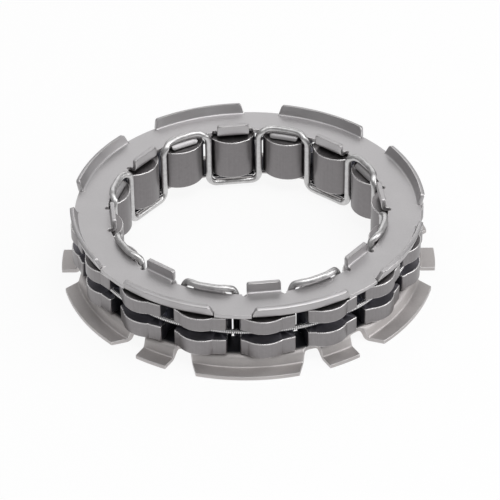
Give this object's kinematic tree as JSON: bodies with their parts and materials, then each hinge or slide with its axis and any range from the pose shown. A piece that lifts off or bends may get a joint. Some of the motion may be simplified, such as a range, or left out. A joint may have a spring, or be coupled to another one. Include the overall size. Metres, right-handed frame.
{
  "type": "sprag starter clutch",
  "caption": "Ring-shaped sprag clutch: rocking steel sprags between two stamped cage plates, with a serpentine retaining wire, a garter spring and a flange of tabs.",
  "frame": {"origin": "on the clutch's axis, in the plane of the flange's underside", "axes": "+Z along the clutch's axis from the flange to the upper plate; +X through the middle of one flange tab"},
  "size_m": [0.072, 0.072, 0.0146],
  "materials": {
    "upper_sheet_steel": "satin stamped sheet, light grey",
    "flange_sheet_steel": "satin stamped sheet, warm grey",
    "drawn_wire_steel": "bright drawn round wire",
    "spring_wire_steel": "fine close-coiled spring wire",
    "sprag_steel": "hardened bearing steel, finely ground on the cams"
  },
  "bodies": {
    "cage": {"upper_plate": "upper_sheet_steel", "lower_plate": "flange_sheet_steel", "retaining_wire": "drawn_wire_steel", "garter_spring": "spring_wire_steel"},
    "sprag_01": {"sprag_01": "sprag_steel"},
    "sprag_02": {"sprag_02": "sprag_steel"},
    "sprag_03": {"sprag_03": "sprag_steel"},
    "sprag_04": {"sprag_04": "sprag_steel"},
    "sprag_05": {"sprag_05": "sprag_steel"},
    "sprag_06": {"sprag_06": "sprag_steel"},
    "sprag_07": {"sprag_07": "sprag_steel"},
    "sprag_08": {"sprag_08": "sprag_steel"},
    "sprag_09": {"sprag_09": "sprag_steel"},
    "sprag_10": {"sprag_10": "sprag_steel"},
    "sprag_11": {"sprag_11": "sprag_steel"},
    "sprag_12": {"sprag_12": "sprag_steel"},
    "sprag_13": {"sprag_13": "sprag_steel"},
    "sprag_14": {"sprag_14": "sprag_steel"},
    "sprag_15": {"sprag_15": "sprag_steel"},
    "sprag_16": {"sprag_16": "sprag_steel"}
  },
  "joints": [
    {"name": "sprag_01_rock", "type": "hinge", "parent": "cage", "child": "sprag_01", "pos_m": [0.0288, 0.00341, 0.00737], "axis": [0, 0, -1], "range_deg": [0, 6], "stiffness_Nm_per_rad": 0.001, "springref_deg": -28.65},
    {"name": "sprag_02_rock", "type": "hinge", "parent": "cage", "child": "sprag_02", "pos_m": [0.0253, 0.01417, 0.00737], "axis": [0, 0, -1], "range_deg": [0, 6], "stiffness_Nm_per_rad": 0.001, "springref_deg": -28.65},
    {"name": "sprag_03_rock", "type": "hinge", "parent": "cage", "child": "sprag_03", "pos_m": [0.01795, 0.02277, 0.00737], "axis": [0, 0, -1], "range_deg": [0, 6], "stiffness_Nm_per_rad": 0.001, "springref_deg": -28.65},
    {"name": "sprag_04_rock", "type": "hinge", "parent": "cage", "child": "sprag_04", "pos_m": [0.00787, 0.02791, 0.00737], "axis": [0, 0, -1], "range_deg": [0, 6], "stiffness_Nm_per_rad": 0.001, "springref_deg": -28.65},
    {"name": "sprag_05_rock", "type": "hinge", "parent": "cage", "child": "sprag_05", "pos_m": [-0.00341, 0.0288, 0.00737], "axis": [0, 0, -1], "range_deg": [0, 6], "stiffness_Nm_per_rad": 0.001, "springref_deg": -28.65},
    {"name": "sprag_06_rock", "type": "hinge", "parent": "cage", "child": "sprag_06", "pos_m": [-0.01417, 0.0253, 0.00737], "axis": [0, 0, -1], "range_deg": [0, 6], "stiffness_Nm_per_rad": 0.001, "springref_deg": -28.65},
    {"name": "sprag_07_rock", "type": "hinge", "parent": "cage", "child": "sprag_07", "pos_m": [-0.02277, 0.01795, 0.00737], "axis": [0, 0, -1], "range_deg": [0, 6], "stiffness_Nm_per_rad": 0.001, "springref_deg": -28.65},
    {"name": "sprag_08_rock", "type": "hinge", "parent": "cage", "child": "sprag_08", "pos_m": [-0.02791, 0.00787, 0.00737], "axis": [0, 0, -1], "range_deg": [0, 6], "stiffness_Nm_per_rad": 0.001, "springref_deg": -28.65},
    {"name": "sprag_09_rock", "type": "hinge", "parent": "cage", "child": "sprag_09", "pos_m": [-0.0288, -0.00341, 0.00737], "axis": [0, 0, -1], "range_deg": [0, 6], "stiffness_Nm_per_rad": 0.001, "springref_deg": -28.65},
    {"name": "sprag_10_rock", "type": "hinge", "parent": "cage", "child": "sprag_10", "pos_m": [-0.0253, -0.01417, 0.00737], "axis": [0, 0, -1], "range_deg": [0, 6], "stiffness_Nm_per_rad": 0.001, "springref_deg": -28.65},
    {"name": "sprag_11_rock", "type": "hinge", "parent": "cage", "child": "sprag_11", "pos_m": [-0.01795, -0.02277, 0.00737], "axis": [0, 0, -1], "range_deg": [0, 6], "stiffness_Nm_per_rad": 0.001, "springref_deg": -28.65},
    {"name": "sprag_12_rock", "type": "hinge", "parent": "cage", "child": "sprag_12", "pos_m": [-0.00787, -0.02791, 0.00737], "axis": [0, 0, -1], "range_deg": [0, 6], "stiffness_Nm_per_rad": 0.001, "springref_deg": -28.65},
    {"name": "sprag_13_rock", "type": "hinge", "parent": "cage", "child": "sprag_13", "pos_m": [0.00341, -0.0288, 0.00737], "axis": [0, 0, -1], "range_deg": [0, 6], "stiffness_Nm_per_rad": 0.001, "springref_deg": -28.65},
    {"name": "sprag_14_rock", "type": "hinge", "parent": "cage", "child": "sprag_14", "pos_m": [0.01417, -0.0253, 0.00737], "axis": [0, 0, -1], "range_deg": [0, 6], "stiffness_Nm_per_rad": 0.001, "springref_deg": -28.65},
    {"name": "sprag_15_rock", "type": "hinge", "parent": "cage", "child": "sprag_15", "pos_m": [0.02277, -0.01795, 0.00737], "axis": [0, 0, -1], "range_deg": [0, 6], "stiffness_Nm_per_rad": 0.001, "springref_deg": -28.65},
    {"name": "sprag_16_rock", "type": "hinge", "parent": "cage", "child": "sprag_16", "pos_m": [0.02791, -0.00787, 0.00737], "axis": [0, 0, -1], "range_deg": [0, 6], "stiffness_Nm_per_rad": 0.001, "springref_deg": -28.65}
  ],
  "couplings": [
    {"joint": "sprag_02_rock", "follows": "sprag_01_rock", "ratio": 1},
    {"joint": "sprag_03_rock", "follows": "sprag_01_rock", "ratio": 1},
    {"joint": "sprag_04_rock", "follows": "sprag_01_rock", "ratio": 1},
    {"joint": "sprag_05_rock", "follows": "sprag_01_rock", "ratio": 1},
    {"joint": "sprag_06_rock", "follows": "sprag_01_rock", "ratio": 1},
    {"joint": "sprag_07_rock", "follows": "sprag_01_rock", "ratio": 1},
    {"joint": "sprag_08_rock", "follows": "sprag_01_rock", "ratio": 1},
    {"joint": "sprag_09_rock", "follows": "sprag_01_rock", "ratio": 1},
    {"joint": "sprag_10_rock", "follows": "sprag_01_rock", "ratio": 1},
    {"joint": "sprag_11_rock", "follows": "sprag_01_rock", "ratio": 1},
    {"joint": "sprag_12_rock", "follows": "sprag_01_rock", "ratio": 1},
    {"joint": "sprag_13_rock", "follows": "sprag_01_rock", "ratio": 1},
    {"joint": "sprag_14_rock", "follows": "sprag_01_rock", "ratio": 1},
    {"joint": "sprag_15_rock", "follows": "sprag_01_rock", "ratio": 1},
    {"joint": "sprag_16_rock", "follows": "sprag_01_rock", "ratio": 1}
  ]
}
